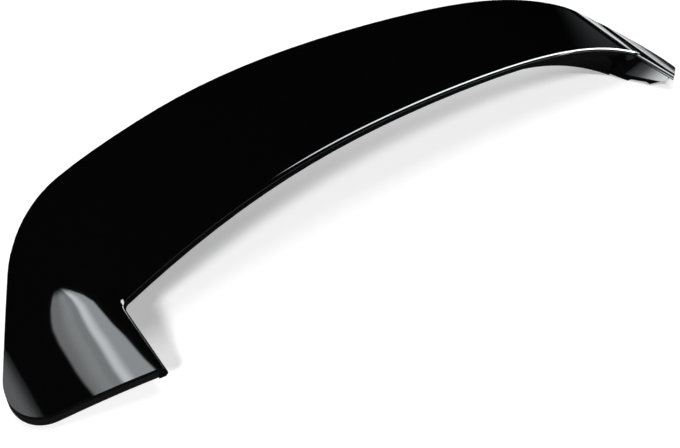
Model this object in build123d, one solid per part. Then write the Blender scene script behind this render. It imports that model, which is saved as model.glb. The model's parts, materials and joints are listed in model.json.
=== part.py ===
from build123d import *
from math import radians, sin, tan
import os

# Sizes in millimetres. X runs across the car, Y towards the bonnet, Z up.
# The origin is the middle of the stud pattern, on the plane where the mounting towers seat.

# Top surface
arm_x = 489.0          # from the middle to the inner corner, where each arm leaves the trailing edge
corner_y = -118.0      # the inner corner, behind the stud pattern's middle
corner_z = -34.0       # the inner corner, below the stud plane
crown = 37.5           # how far the middle arches above the inner corners
shoulder_fall = 1.3    # how sharply the arch falls at the shoulders
fall = 0.383           # slope towards the rear at the leading edge
ease = 1.5e-9          # how the slope eases off behind it
arm_lift = 0.10        # each arm leaves the blade flatter by this slope, along a line across its root
arm_roll = 5.6e-4      # and rolls over again towards its outer edge
crease_start = 9.0     # that line leaves the trailing edge this far inboard of the inner corner
crease_run = (51.0, 98.0)

# Plan outline, measured forward from the line through the inner corners
trail_bow = 34.3       # the trailing edge bows forward by this much at the middle
trail_peak = 1.1
lead_depth = 179.3     # the leading edge at the middle
lead_bow = 56.8        # how far it has swept back at lead_x
lead_x = 547.5
shoulder_x = 520.3     # where the leading edge turns into the side
shoulder_radius = 118.0
side_corner = (611.5, -28.0)
side_radius = 34.0
arm_tip = (493.0, -69.0)
inner_radius = 7.0

# Walls and edges
skin = 3.0
lip_depth = 10.5
lip_wall = 6.0
lip_round = 6.0
lip_under = 2.0
flange_depth = 9.0
flange_wall = 3.0
flange_start = 36.0
panel_wall = 2.6
seal_wall = 8.0
seal_depth = 8.0
seal_bevel = 2.0
seal_end = 24.0

# Lower panel: its front edge at the middle, and how it drops towards the arms
base_depth = 103.0
base_sweep = 60.0
base_level = 2.0
base_crown = 51.0
panel_bow = 5.0
panel_inset = 3.0
panel_lap = 1.4
wall_inset = 3.2

# Inner wall of each arm, as forward and up distances from the inner corner
arm_wall = [
    (-60.0, -26.0), (0.0, -8.0), (46.0, -40.0), (42.0, -46.0), (5.0, -51.5),
    (0.0, -48.0), (-27.0, -46.5), (-33.0, -49.0), (-60.0, -35.0),
]

# Fixings
stud_span = 560.0
stud_pitch = 40.0
stud_radius = 3.0
stud_collar = 4.2
stud_out = 18.0
stud_deep = 14.0
stud_head = 6.5
stud_head_thick = 3.0
stud_tip = 0.8
tower_radius = 11.0
gasket_radius = 10.5
gasket_bore = 4.6
gasket_thick = 4.0
pin_x = 120.0
pin_radius = 4.0
pin_out = 10.0
rib_wall = 2.2
rib_depth = 15.0
rib_start = 30.0
rib_x = [0.0, 120.0, 280.0, 420.0]

past = 640.0           # beyond every edge of the part


def arch(x):
    share = x / arm_x
    return crown * (1 - shoulder_fall * share ** 4 + (shoulder_fall - 1) * share ** 6)


def top(x, y):
    ahead = y - corner_y
    eased = ease / 4 * ((lead_depth - ahead) ** 4 - lead_depth ** 4)
    return corner_z + arch(x) + fall * ahead + eased


def arm_top(x, y):
    run = Vector(*crease_run).normalized()
    outboard = run.Y * (abs(x) - arm_x + crease_start) - run.X * (y - corner_y)
    return top(x, y) + arm_lift * outboard - arm_roll * outboard ** 2


def trail_y(x):
    share = x / arm_x
    return corner_y + trail_bow * (1 - trail_peak * share ** 2 + (trail_peak - 1) * share ** 4)


def lead_y(x):
    return corner_y + lead_depth - lead_bow * (x / lead_x) ** 2


def spread(start, stop, count):
    return [start + (stop - start) * i / (count - 1) for i in range(count)]


def sheet(point, u_range, v_range, u_count, v_count):
    rows = []
    for v in spread(*v_range, v_count):
        rows.append([point(u, v) for u in spread(*u_range, u_count)])
    return Face.make_surface_from_array_of_points(rows, tol=0.01, min_deg=3, max_deg=6)


def rounded(before, at, after, radius):
    back = (Vector(before) - Vector(at)).normalized()
    ahead = (Vector(after) - Vector(at)).normalized()
    half = radians(back.get_angle(ahead) / 2)
    bulge = (back + ahead).normalized() * (radius / sin(half) - radius)
    length = radius / tan(half)
    return Vector(at) + back * length, Vector(at) + bulge, Vector(at) + ahead * length


def moved_in(before, at, after, inset):
    back = (Vector(before) - Vector(at)).normalized()
    ahead = (Vector(after) - Vector(at)).normalized()
    half = radians(back.get_angle(ahead) / 2)
    return Vector(at) + (back + ahead).normalized() * (inset / sin(half))


inner = Vector(arm_x, corner_y)
tip = Vector(arm_tip[0], corner_y + arm_tip[1])
side = Vector(side_corner[0], corner_y + side_corner[1])
shoulder = Vector(shoulder_x, lead_y(shoulder_x))
trail_run = Vector(1, trail_bow * (2 * trail_peak - 4) / arm_x)
lead_run = Vector(1, -2 * lead_bow * shoulder_x / lead_x ** 2)


def bends(inset):
    corners = [
        moved_in(inner - trail_run, inner, tip, -inset),
        moved_in(inner, tip, side, inset),
        moved_in(tip, side, shoulder, inset),
        moved_in(side, shoulder, shoulder - lead_run, inset),
    ]
    inner_bend = rounded(corners[0] - trail_run, corners[0], corners[1], inner_radius + inset)
    side_bend = rounded(corners[1], corners[2], corners[3], side_radius - inset)
    shoulder_bend = rounded(corners[2], corners[3], corners[3] - lead_run, shoulder_radius - inset)
    return inner_bend, corners[1], side_bend, shoulder_bend


def outline(inset=0.0):
    inner_bend, arm_end, side_bend, shoulder_bend = bends(inset)
    right = [
        ThreePointArc(*inner_bend),
        Line(inner_bend[2], arm_end),
        Line(arm_end, side_bend[0]),
        ThreePointArc(*side_bend),
        Line(side_bend[2], shoulder_bend[0]),
        ThreePointArc(*shoulder_bend),
    ]
    left = [edge.mirror(Plane.YZ) for edge in right]
    meet = inner_bend[0]
    inboard = meet.X - 25
    trail = Spline(
        [(-meet.X, meet.Y)] + [(x, trail_y(x) + inset) for x in spread(-inboard, inboard, 15)] + [meet],
        tangents=[(trail_run.X, -trail_run.Y), trail_run],
    )
    meet = shoulder_bend[2]
    inboard = meet.X - 60
    lead = Spline(
        [(-meet.X, meet.Y)] + [(x, lead_y(x) - inset) for x in spread(-inboard, inboard, 11)] + [meet],
        tangents=[(lead_run.X, -lead_run.Y), lead_run],
    )
    return make_face([trail, lead] + right + left)


def column(face):
    return extrude(Pos(0, 0, -past) * face, amount=2 * past)


def crowned_block():
    rear = corner_y - 120
    front = corner_y + 230

    def on_blade(x, y):
        return (x, y, top(x, y))

    def on_arm(x, y):
        return (x, y, arm_top(x, y))

    blade = extrude(sheet(on_blade, (-past, past), (rear, front), 13, 7), amount=260, dir=(0, 0, -1))
    arm = extrude(sheet(on_arm, (380, past + 20), (rear - 20, front + 20), 9, 7), amount=260, dir=(0, 0, -1))
    return blade + arm + arm.mirror(Plane.YZ)


def lowered(block, drop):
    return Pos(0, 0, -drop) * block


def border(zone, wall):
    return column(make_face(Polyline(*zone, close=True)) - outline(wall))


def both_sides(points):
    return points + [(-x, y) for x, y in reversed(points)]


def on_lip(edge, drop):
    at = edge @ 0.5
    level = max(top(at.X, at.Y), arm_top(at.X, at.Y)) - drop
    if abs(at.Z - level) > 0.3:
        return False
    if abs(at.X) < arm_x - inner_radius:
        return abs(at.Y - trail_y(at.X)) < 1
    outboard = (corner_y - at.Y) / (inner.Y - tip.Y) * (tip.X - inner.X)
    return at.Y < corner_y + 1 and abs(at.X) < arm_x + outboard + 0.5


def lipped_skin(block):
    plan = column(outline())
    chevron = [(0, corner_y + 90), (arm_x - 60, corner_y + flange_start)]
    front_zone = chevron + [(past, corner_y + flange_start), (past, corner_y + 300)]
    lip_x = tip.X + lip_wall + 1
    rear_zone = chevron + [(lip_x, corner_y + 20), (lip_x, corner_y - 100)]
    lip = border(both_sides(rear_zone), lip_wall)
    flange = border(both_sides(front_zone), flange_wall)
    shell = (plan & block) - lowered(block, lip_depth)
    shell -= lowered(block, flange_depth) - lip
    shell -= lowered(block, skin) - lip - flange
    shell = fillet([edge for edge in shell.edges() if on_lip(edge, 0)], lip_round)
    return chamfer([edge for edge in shell.edges() if on_lip(edge, lip_depth)], lip_under)


def stiffening(block):
    ribs = Sketch()
    for x in rib_x:
        rear = trail_y(x) + rib_start
        front = lead_y(x) - flange_wall / 2
        for way in (-1, 1):
            ribs += Pos(way * x, (rear + front) / 2) * Rectangle(rib_wall, front - rear)
    for y in (-stud_pitch / 2, stud_pitch / 2):
        ribs += Pos(0, y) * Rectangle(stud_span, rib_wall)
    buried = lowered(block, skin / 2)
    web = (column(ribs) & buried) - lowered(block, skin + rib_depth)
    posts = extrude(Sketch() + GridLocations(stud_span, stud_pitch, 2, 2) * Circle(tower_radius), amount=past)
    pins = extrude(Sketch() + GridLocations(2 * pin_x, 1, 2, 1) * Circle(pin_radius), amount=past)
    posts += Pos(0, 0, -pin_out) * pins
    return web + (posts & buried)


def lower_panel(shell):
    def skin_point(x, share):
        spread_out = (x / arm_x) ** 4
        rear = trail_y(x) + panel_inset
        rear_z = top(x, rear) - lip_depth - panel_wall + panel_lap
        front = corner_y + base_depth - base_sweep * spread_out
        front_z = corner_z + base_level - base_crown * spread_out
        bow = 4 * panel_bow * share * (1 - share)
        return (x, rear + share * (front - rear), rear_z + share * (front_z - rear_z) + bow)

    panel_x = arm_x + wall_inset
    panel = extrude(sheet(skin_point, (-panel_x, panel_x), (0, 1), 13, 7), amount=panel_wall, dir=(0, 0, 1))
    forward = (inner - tip).normalized()
    outboard = Vector(forward.Y, -forward.X)
    plane = Plane(inner + outboard * wall_inset + Vector(0, 0, corner_z), x_dir=forward, z_dir=outboard)
    plate = extrude(plane * make_face(Polyline(*arm_wall, close=True)), amount=panel_wall / 2, both=True)
    return panel + plate + plate.mirror(Plane.YZ) - shell


def edge_seal(block):
    side_bend = bends(0)[2]
    start = tip.X + lip_wall + 1
    stop = side_bend[2].Y + seal_end
    zone = [(start, corner_y - 120), (past, corner_y - 120), (past, stop), (start, stop)]
    band = border(zone, seal_wall) & column(outline())
    seal = (band & lowered(block, skin)) - lowered(block, skin + seal_depth)
    rim = outline().face().outer_wire()
    lower = []
    for edge in seal.edges():
        at = edge @ 0.5
        low = abs(arm_top(at.X, at.Y) - skin - seal_depth - at.Z) < 0.3
        if low and rim.distance_to(Vertex(at.X, at.Y, 0)) < 0.5:
            lower.append(edge)
    return chamfer(lower, seal_bevel)


def mounting_studs():
    shank = Pos(0, 0, -stud_out) * Cylinder(stud_radius, stud_out, align=upright)
    shank = chamfer(shank.edges().sort_by(Axis.Z)[0], stud_tip)
    collar = Cylinder(stud_collar, stud_deep, align=upright)
    head = Pos(0, 0, stud_deep - stud_head_thick) * Cylinder(stud_head, stud_head_thick, align=upright)
    stud = shank + collar + head
    return [place * stud for place in GridLocations(stud_span, stud_pitch, 2, 2)]


def stud_gaskets():
    ring = Circle(gasket_radius) - Circle(gasket_bore)
    ring = extrude(ring, amount=-gasket_thick)
    return [place * ring for place in GridLocations(stud_span, stud_pitch, 2, 2)]


upright = (Align.CENTER, Align.CENTER, Align.MIN)
block = crowned_block()
studs = mounting_studs()
shell = lipped_skin(block) + stiffening(block)
for stud in studs:
    shell -= stud
seal = edge_seal(block)
nodes = {
    "upper_shell": shell,
    "lower_panel": lower_panel(shell),
    "edge_seal_right": seal,
    "edge_seal_left": seal.mirror(Plane.YZ),
    "mounting_studs": Compound(children=studs),
    "stud_gaskets": Compound(children=stud_gaskets()),
}
os.makedirs("parts", exist_ok=True)
for name, shape in nodes.items():
    export_step(shape, f"parts/{name}.step")
    print(name, round(shape.volume / 1000, 1), "cm3")
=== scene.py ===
# %% [markdown]
# # A gloss black roof spoiler
# The spoiler is already drawn as solids: a painted shell, a panel that closes it underneath, two
# rubber edge seals, four threaded studs and four foam gaskets. This lesson gives them their
# finishes, a floor, light and a camera. The solids are never moved. Where a piece needs a better
# mesh, a new one takes its place.

# %% Load the part
import json
import math
import bpy
import bmesh
import numpy as np
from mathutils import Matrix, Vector

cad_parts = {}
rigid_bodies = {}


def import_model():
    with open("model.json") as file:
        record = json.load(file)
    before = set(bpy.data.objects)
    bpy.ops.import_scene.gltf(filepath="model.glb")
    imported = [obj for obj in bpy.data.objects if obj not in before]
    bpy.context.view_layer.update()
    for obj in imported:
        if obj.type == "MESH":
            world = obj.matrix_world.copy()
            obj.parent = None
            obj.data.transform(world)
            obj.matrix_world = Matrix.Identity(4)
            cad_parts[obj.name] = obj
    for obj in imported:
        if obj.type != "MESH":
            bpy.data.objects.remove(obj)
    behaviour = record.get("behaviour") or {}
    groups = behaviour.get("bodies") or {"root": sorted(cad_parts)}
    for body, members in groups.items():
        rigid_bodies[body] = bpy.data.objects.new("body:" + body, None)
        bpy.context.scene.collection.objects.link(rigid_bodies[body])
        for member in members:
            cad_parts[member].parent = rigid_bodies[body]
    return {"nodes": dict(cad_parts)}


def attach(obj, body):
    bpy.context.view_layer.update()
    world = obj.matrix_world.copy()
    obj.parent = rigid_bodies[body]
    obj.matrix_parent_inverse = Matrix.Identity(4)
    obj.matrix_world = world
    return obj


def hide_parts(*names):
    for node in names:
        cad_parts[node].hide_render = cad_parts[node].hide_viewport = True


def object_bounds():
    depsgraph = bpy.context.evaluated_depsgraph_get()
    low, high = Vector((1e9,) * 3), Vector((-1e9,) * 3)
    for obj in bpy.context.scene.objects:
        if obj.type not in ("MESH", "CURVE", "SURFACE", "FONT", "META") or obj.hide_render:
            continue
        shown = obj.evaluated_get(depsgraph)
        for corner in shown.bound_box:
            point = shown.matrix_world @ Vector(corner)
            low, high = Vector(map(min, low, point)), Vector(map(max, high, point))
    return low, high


for old in list(bpy.data.objects):
    bpy.data.objects.remove(old)
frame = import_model()
cad_low, cad_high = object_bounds()
print("nodes", sorted(frame["nodes"]))
print("box", [round(v, 4) for v in cad_low], [round(v, 4) for v in cad_high])


# %% [markdown]
# ## Shader formulas that read like formulas
# A finish is a small graph of nodes. It could be clicked together by hand, but a graph is hard to
# read and to repeat. The class below wraps one output socket. Adding or multiplying two wrapped
# sockets adds the Math node that does it, and one method makes every other kind of node.

# %% Socket shorthand
class Sock:
    """One output of a shader node."""

    def __init__(self, tree, out):
        self.tree = tree
        self.out = out

    def node(self, kind, inputs=(), out=0, **settings):
        made = self.tree.nodes.new("ShaderNode" + kind)
        for name, value in settings.items():
            setattr(made, name, value)
        pairs = inputs.items() if isinstance(inputs, dict) else enumerate(inputs)
        for key, value in pairs:
            if isinstance(value, Sock):
                self.tree.links.new(value.out, made.inputs[key])
            else:
                made.inputs[key].default_value = value
        return Sock(self.tree, made.outputs[out])

    def maths(self, operation, *values):
        return self.node("Math", values, operation=operation)

    def __add__(self, other):
        return self.maths("ADD", self, other)

    def __radd__(self, other):
        return self.maths("ADD", other, self)

    def __sub__(self, other):
        return self.maths("SUBTRACT", self, other)

    def __rsub__(self, other):
        return self.maths("SUBTRACT", other, self)

    def __mul__(self, other):
        return self.maths("MULTIPLY", self, other)

    def __rmul__(self, other):
        return self.maths("MULTIPLY", other, self)

    def between(self, low, high, first=0.0, last=1.0):
        """A soft step from first to last while this value goes from low to high."""
        return self.node("MapRange", [self, low, high, first, last], interpolation_type="SMOOTHSTEP")

    def grey(self, red=1.0, green=1.0, blue=1.0):
        """This value as a colour, with a slight tint where the three numbers differ."""
        return self.node("CombineColor", [self * red, self * green, self * blue])


print("socket shorthand ready")


# %% [markdown]
# ## A finish in three calls
# `finish` makes a material with one Principled shader and sets the numbers that are the same all
# over it. `surface_point` gives the place on the piece, so a pattern stays on it when it turns.
# `feed` links what changes over the surface.

# %% Finish helpers
def finish(name, **numbers):
    mat = bpy.data.materials.new(name)
    mat.use_nodes = True
    tree = mat.node_tree
    tree.nodes.clear()
    end = tree.nodes.new("ShaderNodeOutputMaterial")
    shader = tree.nodes.new("ShaderNodeBsdfPrincipled")
    for key, value in numbers.items():
        shader.inputs[key.replace("_", " ")].default_value = value
    tree.links.new(shader.outputs[0], end.inputs[0])
    return mat, tree, shader


def surface_point(tree, kind="Object"):
    return Sock(tree, tree.nodes.new("ShaderNodeTexCoord").outputs[kind])


def feed(tree, shader, **sources):
    for key, source in sources.items():
        tree.links.new(source.out, shader.inputs[key.replace("_", " ")])


print("finish helpers ready")


# %% [markdown]
# ## Black paint under clear coat
# The shell is sprayed black and then clear coated, so it has two mirrors: the coat and the paint
# beneath. The Coat inputs give the real order of layers. Three things keep it from looking like
# plain plastic: tiny flecks in the colour, a faint cloud in the gloss, and the gentle waves that
# sprayed paint dries with. The panel gets the same paint with a thinner coat, as the side that
# nobody polishes.

# %% Black paint
def black_paint(name, black, coat, waves):
    mat, tree, shader = finish(name, IOR=1.5, Coat_Roughness=0.012, Coat_IOR=1.5)
    place = surface_point(tree)
    flecks = place.node("TexNoise", {"Vector": place, "Scale": 5200.0, "Detail": 0.0})
    cloud = place.node("TexNoise", {"Vector": place, "Scale": 9.0, "Detail": 3.0})
    ripple = place.node("TexNoise", {"Vector": place, "Scale": 420.0, "Detail": 1.0})
    feed(
        tree,
        shader,
        Base_Color=flecks.between(0.62, 0.8, black, black * 1.9).grey(1.0, 1.0, 1.12),
        Roughness=cloud.between(0.3, 0.75, 0.035, 0.075),
        Coat_Weight=cloud.between(0.2, 0.8, coat, coat * 0.94),
        Normal=ripple.node("Bump", {"Strength": waves, "Distance": 0.00005, "Height": ripple}),
    )
    print(name, "has", len(tree.nodes), "nodes")
    return mat


shell_paint = black_paint("shell paint", 0.0012, 1.0, 0.05)
panel_paint = black_paint("panel paint", 0.0015, 0.8, 0.12)


# %% [markdown]
# ## Rubber and foam
# The edge seals are soft black rubber with a fine matt grain, and the gaskets are closed-cell foam
# with open pores where they were cut. Both are one noise at different sizes: it shades the colour,
# breaks up the gloss and raises the grain.

# %% Rubber and foam
def grained_rubber(name, black, gloss, matt, grain_size, grain_depth):
    mat, tree, shader = finish(name, IOR=1.48)
    place = surface_point(tree)
    grain = place.node("TexNoise", {"Vector": place, "Scale": grain_size, "Detail": 4.0})
    feed(
        tree,
        shader,
        Base_Color=grain.between(0.3, 0.7, black * 0.75, black * 1.3).grey(1.0, 1.0, 1.03),
        Roughness=grain.between(0.35, 0.65, gloss, matt),
        Normal=grain.node("Bump", {"Strength": 0.5, "Distance": grain_depth, "Height": grain}),
    )
    print(name, "has", len(tree.nodes), "nodes")
    return mat


seal_rubber = grained_rubber("seal rubber", 0.004, 0.42, 0.6, 900.0, 0.0001)
gasket_foam = grained_rubber("gasket foam", 0.03, 0.8, 0.95, 1500.0, 0.0004)


# %% [markdown]
# ## Zinc on steel
# The studs are steel with a bright zinc plating, which dries in small crystals. A plain metal
# would look like chrome. Cells from a Voronoi texture vary its brightness and its gloss a little.

# %% Zinc plating
def zinc_plating():
    mat, tree, shader = finish("zinc plating", Metallic=1.0)
    place = surface_point(tree)
    crystal = place.node("TexVoronoi", {"Vector": place, "Scale": 900.0})
    feed(
        tree,
        shader,
        Base_Color=crystal.between(0.0, 0.9, 0.5, 0.66).grey(1.0, 1.01, 1.05),
        Roughness=crystal.between(0.0, 1.0, 0.22, 0.38),
    )
    print("zinc plating has", len(tree.nodes), "nodes")
    return mat


stud_zinc = zinc_plating()


# %% [markdown]
# ## The shell's surface as a formula
# Gloss black shows every fault in a mesh, because the eye follows the edge of a reflection. The
# solid's triangles are close to the true surface, but the normals at their corners are averages.
# A much finer mesh would hide that. It is better to keep the triangles and give each corner the
# exact normal, which the formula of the surface tells. These are the sizes that the solid has, in
# metres: a crowned blade that falls to the rear, and arms that rise from a line at each end.

# %% Surface formula
ARM_X, CORNER_Y, CORNER_Z = 0.489, -0.118, -0.034
CROWN, CROWN_4, CROWN_6 = 0.0375, 1.3, 0.3
SLOPE, EASE, BLADE_DEEP = 0.383, 1.5, 0.1793
ARM_LIFT, ARM_ROLL, LINE_IN = 0.10, 0.56, 0.009
ARM_LINE = np.array((51.0, 98.0)) / math.hypot(51.0, 98.0)


def outboard(x, y):
    """How far a point lies beyond the line at the arm's root."""
    return ARM_LINE[1] * (np.abs(x) - ARM_X + LINE_IN) - ARM_LINE[0] * (y - CORNER_Y)


def top_height(x, y, on_arm):
    u = x / ARM_X
    ahead = y - CORNER_Y
    z = CORNER_Z + CROWN * (1 - CROWN_4 * u**4 + CROWN_6 * u**6) + SLOPE * ahead
    z = z + EASE / 4 * ((BLADE_DEEP - ahead) ** 4 - BLADE_DEEP**4)
    out = outboard(x, y)
    return z + np.where(on_arm, ARM_LIFT * out - ARM_ROLL * out**2, 0.0)


def unit(rows):
    return rows / np.linalg.norm(rows, axis=-1, keepdims=True)


def top_normal(x, y, on_arm):
    h = 1e-5
    across = (top_height(x + h, y, on_arm) - top_height(x - h, y, on_arm)) / (2 * h)
    along = (top_height(x, y + h, on_arm) - top_height(x, y - h, on_arm)) / (2 * h)
    return unit(np.stack([-across, -along, np.ones_like(x)], axis=-1))


middle = top_height(np.array([0.0]), np.array([-0.05]), np.array([False]))[0]
print("height at the middle", round(float(middle), 4), "of", round(cad_high.z, 4))


# %% [markdown]
# ## The rolled lip
# The trailing edge is rolled over with a 6 mm radius, and the line of light along it is the main
# thing that one sees of the spoiler from behind. On a roll of radius r, a point d inside the edge
# leans outward by exactly 1 - d / r, so the normal needs only the distance to the edge's line in
# plan. The line runs along the blade, round the 7 mm inner corner and down the arm to its tip.

# %% Line of the lip
LIP_ROLL = 0.006
CORNER_ROUND = 0.007


def lip_line():
    """Plan points of the right half of the lip, from the middle of the blade to the arm's tip."""
    bow, peak = 0.0343, 1.1
    xs = np.linspace(0, ARM_X - 0.0065, 240)
    u = xs / ARM_X
    blade = np.stack([xs, CORNER_Y + bow * (1 - peak * u**2 + (peak - 1) * u**4)], axis=1)
    corner = np.array((ARM_X, CORNER_Y))
    tip = np.array((0.493, CORNER_Y - 0.069))
    back = unit(blade[-2] - blade[-1])
    down = unit(tip - corner)
    half = math.acos(back @ down) / 2
    centre = corner + unit(back + down) * CORNER_ROUND / math.sin(half)
    reach = CORNER_ROUND / math.tan(half)
    first, last = corner + back * reach, corner + down * reach
    turn_0 = math.atan2(*(first - centre)[::-1])
    turn_1 = math.atan2(*(last - centre)[::-1])
    turn_1 += 2 * math.pi * round((turn_0 - turn_1) / (2 * math.pi))
    turns = np.linspace(turn_0, turn_1, 24)
    bend = centre + CORNER_ROUND * np.stack([np.cos(turns), np.sin(turns)], axis=1)
    arm = last + (tip - last) * np.linspace(0.02, 1.0, 40)[:, None]
    return np.vstack([blade[blade[:, 0] < first[0] - 1e-4], bend, arm])


def from_lip(points):
    """Distance of each point from the lip's line in plan, and the outward direction there."""
    line = lip_line()
    step = np.gradient(line, axis=0)
    outward = unit(np.stack([step[:, 1], -step[:, 0]], axis=1))
    folded = np.stack([np.abs(points[:, 0]), points[:, 1]], axis=1)
    gap = np.empty(len(points))
    out = np.zeros((len(points), 3))
    for k, at in enumerate(folded):
        reach = np.linalg.norm(line - at, axis=1)
        near = reach.argmin()
        gap[k] = abs((at - line[near]) @ outward[near]) if reach[near] < 0.02 else 1.0
        out[k, :2] = outward[near]
    out[:, 0] *= np.sign(points[:, 0])
    return gap, out


print("lip line of", len(lip_line()), "points")


# %% [markdown]
# ## The shell with true normals
# A copy of the solid's mesh takes the shell's place. Corners on the top get the formula's normal,
# corners on the roll get the lip's, and walls and underside keep the ones they have.

# %% True normals
FACES_UP = 0.02  # a face whose normal rises more than this is on the top or on the roll
ON_SURFACE = 4e-5  # a corner this close to the formula lies on the top
ROLL_MARGIN = 1.02  # the roll is looked for a little past its radius


def true_normals(mesh):
    """The mesh's corner normals, made exact on the top and on the lip's roll."""
    normals = np.array([c.vector for c in mesh.corner_normals])
    places = np.array([v.co for v in mesh.vertices])
    at = places[[loop.vertex_index for loop in mesh.loops]]
    face_of = np.repeat(np.arange(len(mesh.polygons)), [f.loop_total for f in mesh.polygons])
    centre = np.array([f.center for f in mesh.polygons])
    up = np.array([f.normal.z for f in mesh.polygons])[face_of] > FACES_UP
    on_arm = (outboard(centre[:, 0], centre[:, 1]) > 0)[face_of]
    on_top = up & (np.abs(at[:, 2] - top_height(at[:, 0], at[:, 1], on_arm)) < ON_SURFACE)
    true_top = top_normal(at[:, 0], at[:, 1], on_arm)
    gap, out = from_lip(at)
    on_lip = up & ~on_top & (gap < LIP_ROLL * ROLL_MARGIN)
    lean = np.clip(1 - gap / LIP_ROLL, 0, 1)[:, None]
    rise = unit(true_top - (true_top * out).sum(axis=1, keepdims=True) * out)
    true_lip = lean * out + np.sqrt(1 - lean**2) * rise
    normals[on_top] = true_top[on_top]
    normals[on_lip] = true_lip[on_lip]
    print("shell corners", len(at), "top", int(on_top.sum()), "lip", int(on_lip.sum()))
    return normals


shell_mesh = frame["nodes"]["upper_shell"].data.copy()
shell_mesh.normals_split_custom_set([tuple(n) for n in true_normals(shell_mesh)])


# %% [markdown]
# ### The copy takes the solid's place
# The new piece rides on the part's only body, so it would move with it, and the solid that it
# stands for is hidden. Moving or changing the solid itself would break the link to the drawing.

# %% Painted shell
def painted_shell(mesh):
    made = bpy.data.objects.new("painted_shell", mesh)
    bpy.context.collection.objects.link(made)
    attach(made, "root")
    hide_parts("upper_shell")
    print("painted shell with", len(mesh.polygons), "faces")
    return made


shell = painted_shell(shell_mesh)


# %% [markdown]
# ## Threads on the studs
# The free ends of the studs are M6, with a rolled thread of 1 mm pitch. A screw modifier could sweep
# a tooth round the axis. Here each stud is a tube whose radius follows the thread: at every turn and
# height, the place within the pitch says whether it is crest, flank or root. That gives a closed
# surface with no seams, the last turns can fade out, and the tip can have its bevel.

# %% Thread profile
PITCH, CREST, ROOT = 0.001, 0.003, 0.00245
RUN_OUT = 0.0015  # the last turns fade out over this length
TIP_RADIUS = 0.0022  # where the tip's bevel starts


def thread_radius(turn, up, low, high):
    place = (up - low) / PITCH - turn / (2 * np.pi)
    tooth = np.clip(1.25 * np.abs(2 * (place % 1.0) - 1) - 0.125, 0, 1)
    fade = np.clip((high - up) / RUN_OUT, 0, 1)
    radius = CREST - (CREST - ROOT) * (1 - tooth) * fade
    return np.minimum(radius, TIP_RADIUS + (up - low))


print("thread", PITCH, "m pitch,", round(CREST - ROOT, 5), "m deep")


# %% [markdown]
# ### From profile to tube
# The tube is a stack of rings, ten to a turn, joined by faces. Ten are enough for the flanks to read
# as slopes. The lowest ring is closed with one face, which is the stud's flat tip.

# %% Threaded tube
SIDES, RINGS_PER_TURN = 28, 10


def add_thread(shape, axis, low, high):
    """A threaded tube from the collar down to the tip, closed at the tip."""
    turns = np.linspace(0, 2 * np.pi, SIDES, endpoint=False)
    rows = []
    for up in np.linspace(high, low, int((high - low) / PITCH * RINGS_PER_TURN) + 1):
        radius = thread_radius(turns, up, low, high)
        ring = []
        for turn, r in zip(turns, radius):
            ring.append(shape.verts.new((axis[0] + r * np.cos(turn), axis[1] + r * np.sin(turn), up)))
        rows.append(ring)
    for upper, lower in zip(rows, rows[1:]):
        for k in range(SIDES):
            after = (k + 1) % SIDES
            shape.faces.new((upper[k], lower[k], lower[after], upper[after])).smooth = True
    shape.faces.new(rows[-1][::-1])


print("threaded tube of", SIDES, "sides ready")


# %% [markdown]
# ### Off with the plain shank
# The solid's studs have plain shanks. Their faces are found by their distance from the stud's axis
# and are removed, so that the thread doesn't hide a second surface inside it.

# %% Plain shank
FREE_LENGTH = 0.0185  # the free end is a little shorter than this
CLOSE = 2e-5


def strip_shank(shape, mine):
    """Removes the plain free end of one stud, and tells its axis, tip and root."""
    xs, ys = [v.co.x for v in mine], [v.co.y for v in mine]
    axis = ((min(xs) + max(xs)) / 2, (min(ys) + max(ys)) / 2)
    core = [v for v in mine if math.hypot(v.co.x - axis[0], v.co.y - axis[1]) < CREST + CLOSE]
    low = min(v.co.z for v in core)
    free = [v for v in core if v.co.z < low + FREE_LENGTH]
    high = max(v.co.z for v in free)
    kept = set(free)
    bare = {f for v in free for f in v.link_faces if all(w in kept for w in f.verts)}
    bmesh.ops.delete(shape, geom=list(bare), context="FACES")
    print("stud at", [round(a, 4) for a in axis], "free length", round(high - low, 4))
    return axis, low, high


print("shank helper ready")


# %% [markdown]
# ### All four studs
# Each stud is one corner of the pattern, so the signs of x and y pick out its corners. The four
# become one mesh, as the solids are one group.

# %% Threaded studs
def threaded_studs(node):
    shape = bmesh.new()
    shape.from_mesh(node.data)
    bmesh.ops.remove_doubles(shape, verts=shape.verts[:], dist=1e-6)
    for side in (-1, 1):
        for end in (-1, 1):
            mine = [v for v in shape.verts if v.co.x * side > 0 and v.co.y * end > 0]
            add_thread(shape, *strip_shank(shape, mine))
    mesh = bpy.data.meshes.new("threaded_studs")
    shape.to_mesh(mesh)
    shape.free()
    made = bpy.data.objects.new("threaded_studs", mesh)
    bpy.context.collection.objects.link(made)
    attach(made, "root")
    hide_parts("mounting_studs")
    print("threaded studs with", len(mesh.polygons), "faces")
    return made


studs = threaded_studs(frame["nodes"]["mounting_studs"])


# %% [markdown]
# ## Each piece gets its finish
# Materials may be put on the solids directly, because that changes no shape. The two new meshes
# get the same paint and zinc as the solids they stand for.

# %% Dress the pieces
wears = {
    "upper_shell": shell_paint,
    "lower_panel": panel_paint,
    "edge_seal_left": seal_rubber,
    "edge_seal_right": seal_rubber,
    "mounting_studs": stud_zinc,
    "stud_gaskets": gasket_foam,
}
dressed = [(frame["nodes"][name], mat) for name, mat in wears.items()]
dressed += [(shell, shell_paint), (studs, stud_zinc)]
for piece, mat in dressed:
    piece.data.materials.clear()
    piece.data.materials.append(mat)
    print(piece.name, "wears", mat.name)
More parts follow.
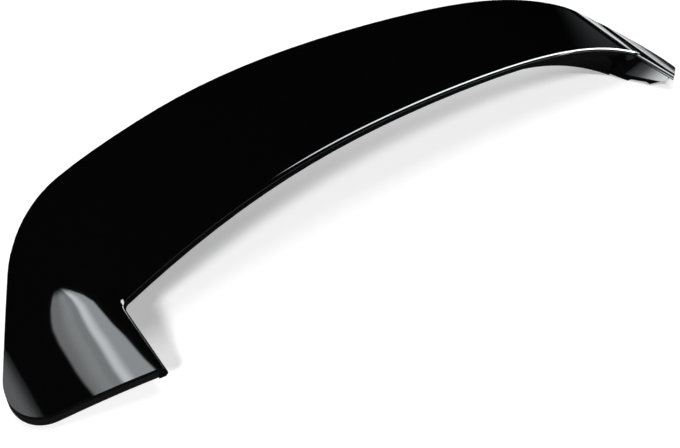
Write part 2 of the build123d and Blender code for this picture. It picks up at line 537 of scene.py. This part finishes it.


# %% [markdown]
# ## A white floor with a soft shadow
# The picture has a white ground that keeps only the shadow. More light would wash out the object
# too. Instead the floor is pale, and for rays that come straight from the camera it also glows a
# little, so that its lit parts reach white while the shadow stays. Close to the spoiler the floor
# is painted near black for glossy rays only, a painted dark reflection, so the lip's lower half
# stays black.

# %% Floor
def floor_finish():
    mat, tree, shader = finish("floor", Roughness=1.0, Specular_IOR_Level=0.0, Emission_Strength=1.0)
    path = tree.nodes.new("ShaderNodeLightPath")
    camera_ray = Sock(tree, path.outputs["Is Camera Ray"])
    glossy_ray = Sock(tree, path.outputs["Is Glossy Ray"])
    place = surface_point(tree)
    away = place.node("VectorMath", [place], out="Value", operation="LENGTH")
    # Painted dark reflection: for glossy rays only, the floor turns near black close to the spoiler.
    painted_dark_reflection = glossy_ray * away.between(0.75, 1.6, 1.0, 0.0)
    pale = 0.86 - camera_ray * 0.14 - painted_dark_reflection * 0.84
    glow = camera_ray * away.between(1.8, 4.0, 0.44, 1.0)
    feed(tree, shader, Base_Color=pale.grey(), Emission_Color=glow.grey())
    return mat


bpy.ops.mesh.primitive_plane_add(size=14, location=(0, 0, cad_low.z - 0.0005))
floor = bpy.context.object
floor.name = "floor"
floor.data.materials.append(floor_finish())
print("floor at", round(floor.location.z, 4))


# %% [markdown]
# ## Key and fill
# The shadow's edge tells where the main light stood: behind the camera's shoulder, about 32 degrees
# up. A wide softbox overhead fills in. Both are kept out of reflections, because the blade mirrors a
# dark room. The highlights come from cards, further down.

# %% Softboxes
def softbox(name, at, aim, size, power):
    data = bpy.data.lights.new(name, "AREA")
    data.shape = "SQUARE"
    data.size = size
    data.energy = power
    lamp = bpy.data.objects.new(name, data)
    bpy.context.collection.objects.link(lamp)
    lamp.location = at
    lamp.rotation_mode = "QUATERNION"
    lamp.rotation_quaternion = (Vector(aim) - Vector(at)).to_track_quat("-Z", "Y")
    print(name, "at", at, power, "W")
    return lamp


key = softbox("key light", (-7.3, -6.1, 5.95), (0, 0, -0.08), 1.8, 1340)
fill = softbox("fill light", (0.0, 0.3, 6.0), (0, 0, 0), 5.0, 175)
key.visible_glossy = False
fill.visible_glossy = False


# %% [markdown]
# ## The room
# Past the floor's edge the camera sees plain white. Reflections see a dark room with one pale wall
# on the left, which gives the paint something to mirror when the spoiler is looked at from its
# other sides. A picture of a real room could do this, but two soft steps on the direction are
# enough and keep the blade black in the main view.

# %% Room
room = bpy.data.worlds.new("room")
bpy.context.scene.world = room
room.use_nodes = True
look = surface_point(room.node_tree, "Generated")
path = room.node_tree.nodes.new("ShaderNodeLightPath")
camera_ray = Sock(room.node_tree, path.outputs["Is Camera Ray"])
glossy_ray = Sock(room.node_tree, path.outputs["Is Glossy Ray"])
leftward = look.node("VectorMath", [look, (-0.990, -0.139, 0.0)], out="Value", operation="DOT_PRODUCT")
height = look.node("SeparateXYZ", [look], out=2)
wall = leftward.between(0.10, 0.5) * height.between(0.02, 0.3) * height.between(0.6, 0.8, 1.0, 0.0)
seen = camera_ray + glossy_ray * wall * 0.8
feed(room.node_tree, room.node_tree.nodes["Background"], Color=seen.grey())
print("room with", len(room.node_tree.nodes), "nodes")


# %% [markdown]
# ## Light cards
# A photographer lights gloss black with white cards, because the object shows nothing but what it
# mirrors. A lamp could stand in for a card, but a card's edge and the tone across it are what one
# sees, so each card is a glowing sheet made from rows of two end points. The tone across it is a
# sum of soft steps. Cards show only in reflections, so they add no light to the floor.

# %% Card glow
def card_glow(name, tones, strength, slant):
    """A glow whose tone changes across the sheet, in soft steps."""
    mat, tree, shader = finish(name, Roughness=1.0, Specular_IOR_Level=0.0, Emission_Strength=strength)
    shader.inputs["Base Color"].default_value = (0, 0, 0, 1)
    sheet = surface_point(tree, "UV")
    u = sheet.node("SeparateXYZ", [sheet])
    v = sheet.node("SeparateXYZ", [sheet], out=1)
    across = u - v * slant
    tone = u.between(0.0, 0.05, 0.0, tones[0])
    for low, high, more in tones[1:]:
        tone = tone + across.between(low, high, 0.0, more)
    tone = tone * v.between(0.0, 0.14) * u.between(0.93, 1.0, 1.0, 0.0)
    feed(tree, shader, Emission_Color=tone.grey(0.95, 1.0, 1.03))
    return mat


print("card glow ready")


# %% [markdown]
# ### The sheet
# A card is a grid between its rows of end points. The grid also gets flat coordinates from 0 to 1
# across and along, which the glow reads.

# %% Card sheet
STEPS, COLUMNS = 41, 25


def card_sheet(name, rows):
    ends = np.array(rows)
    at = np.linspace(0, len(rows) - 1, STEPS)
    below = np.minimum(at.astype(int), len(rows) - 2)
    rest = (at - below)[:, None, None]
    edges = ends[below] * (1 - rest) + ends[below + 1] * rest
    part = np.linspace(0, 1, COLUMNS)[None, :, None]
    grid = edges[:, :1] * (1 - part) + edges[:, 1:] * part
    starts = [r * COLUMNS + c for r in range(STEPS - 1) for c in range(COLUMNS - 1)]
    faces = [(k, k + 1, k + COLUMNS + 1, k + COLUMNS) for k in starts]
    mesh = bpy.data.meshes.new(name)
    mesh.from_pydata(grid.reshape(-1, 3).tolist(), [], faces)
    layer = mesh.uv_layers.new()
    for loop in mesh.loops:
        r, c = divmod(loop.vertex_index, COLUMNS)
        layer.data[loop.index].uv = (c / (COLUMNS - 1), r / (STEPS - 1))
    return mesh


print("card sheet of", STEPS, "by", COLUMNS, "points ready")


# %% [markdown]
# ### A card that only reflections see
# The card is hidden from the camera, from soft light and from shadows.

# %% Card maker
def light_card(name, rows, tones, strength, slant=0.0):
    mesh = card_sheet(name, rows)
    mesh.materials.append(card_glow(name, tones, strength, slant))
    card = bpy.data.objects.new(name, mesh)
    bpy.context.collection.objects.link(card)
    card.visible_camera = False
    card.visible_diffuse = False
    card.visible_shadow = False
    print(name, "with", len(mesh.polygons), "faces")


print("card maker ready")


# %% [markdown]
# ### Two cards over the left arm
# The arm on the left mirrors a bright card with a hot streak down it and, past a black gap, the
# edge of a dimmer one. They lie low over the arm, just outside the picture, so that the blade
# beside it sees neither.

# %% Arm cards
def level_rows(height, pairs):
    return [[(*right, height), (*left, height)] for right, left in pairs]


light_card(
    "arm card",
    level_rows(
        0.12,
        [
            [(-0.534, -0.033), (-0.543, -0.032)],
            [(-0.526, -0.043), (-0.553, -0.038)],
            [(-0.518, -0.054), (-0.565, -0.047)],
            [(-0.5135, -0.066), (-0.575, -0.057)],
            [(-0.514, -0.080), (-0.582, -0.066)],
            [(-0.515, -0.098), (-0.589, -0.082)],
            [(-0.514, -0.116), (-0.595, -0.103)],
            [(-0.515, -0.132), (-0.599, -0.116)],
            [(-0.516, -0.148), (-0.602, -0.130)],
            [(-0.515, -0.164), (-0.604, -0.147)],
            [(-0.516, -0.180), (-0.606, -0.165)],
        ],
    ),
    [0.46, (0.07, 0.22, 0.42), (0.24, 0.34, -0.57), (0.40, 0.48, 0.05), (0.51, 0.75, -0.12)],
    7.0,
    slant=0.25,
)
light_card(
    "dim card",
    level_rows(
        0.12,
        [
            [(-0.6395, -0.040), (-0.665, -0.035)],
            [(-0.641, -0.055), (-0.680, -0.055)],
            [(-0.649, -0.079), (-0.695, -0.080)],
            [(-0.656, -0.100), (-0.705, -0.100)],
            [(-0.663, -0.117), (-0.710, -0.120)],
            [(-0.672, -0.140), (-0.715, -0.145)],
        ],
    ),
    [0.1, (0.0, 0.5, 0.9)],
    1.2,
)


# %% [markdown]
# ### Three cards far to the right
# The white line along the lip is a tall card far off to the right. Its shape, given as bearings
# and heights in degrees, decides where the line starts and how it thins to the left. A low strip on
# the horizon gives the right arm its pale bands, and a dim card behind both gives the blade's right
# end its faint grey.

# %% Far cards
def far_rows(bearings, distance=12.0):
    rows = []
    for right, left, height in bearings:
        e = math.radians(height)
        row = []
        for bearing in (right, left):
            a = math.radians(bearing)
            direction = Vector((math.cos(e) * math.sin(a), math.cos(e) * math.cos(a), math.sin(e)))
            row.append(tuple(direction * distance))
        rows.append(row)
    return rows


light_card(
    "lip card",
    far_rows(
        [
            (108, 118, 60),
            (104, 124, 50),
            (98, 126, 40),
            (95, 123, 30),
            (89, 118, 20),
            (84, 112, 12),
            (82, 106, 4),
        ]
    ),
    [1.0],
    8.0,
)
light_card("horizon card", far_rows([(64, 84, 1.4), (64, 84, 0), (64, 84, -2)]), [1.0], 1.0)
light_card(
    "end card",
    far_rows([(72, 88, 20), (72, 88, 4.5)], 13.0),
    [0.0, (0.42, 0.8, 1.0)],
    0.04,
    slant=-0.62,
)


# %% [markdown]
# ### Two small cards inside the right arm
# The inner wall of the right arm faces the camera, so it mirrors the ground just in front of it. A
# small card lies there, dark towards the blade and bright towards the arm's tip. A second one hangs
# over the arm's inner edge and draws the bright line along its roll. Both are close to the arm, so
# that nothing else mirrors them.

# %% Right arm cards
ground = floor.location.z + 0.001
light_card(
    "wall card",
    [[(x, -0.095, ground), (x, -0.195, ground)] for x in (0.36, 0.46)],
    [0.02, (0.0, 0.25, 0.06), (0.2, 0.72, 0.92)],
    9.0,
)
light_card(
    "rim card",
    [
        [(0.4625, -0.144, 0.079), (0.4035, -0.124, 0.049)],
        [(0.4665, -0.229, 0.047), (0.4075, -0.209, 0.017)],
    ],
    [1.0],
    9.0,
)


# %% [markdown]
# ## The camera
# The camera stands behind the left arm and looks along the spoiler, about 31 degrees down. Its
# place was found by matching the ends of the arms and the corners in the picture.

# %% Camera
lens = bpy.data.cameras.new("camera")
lens.sensor_width = 36.0
lens.lens = 35.0
lens.clip_start = 0.01
camera = bpy.data.objects.new("camera", lens)
bpy.context.collection.objects.link(camera)
camera.location = (-0.66822, -0.55655, 0.30907)
camera.rotation_euler = (math.pi / 2 - 0.549, 0, -0.782)
bpy.context.scene.camera = camera
bpy.context.scene.view_settings.view_transform = "Standard"
print("camera at", [round(v, 3) for v in camera.location])
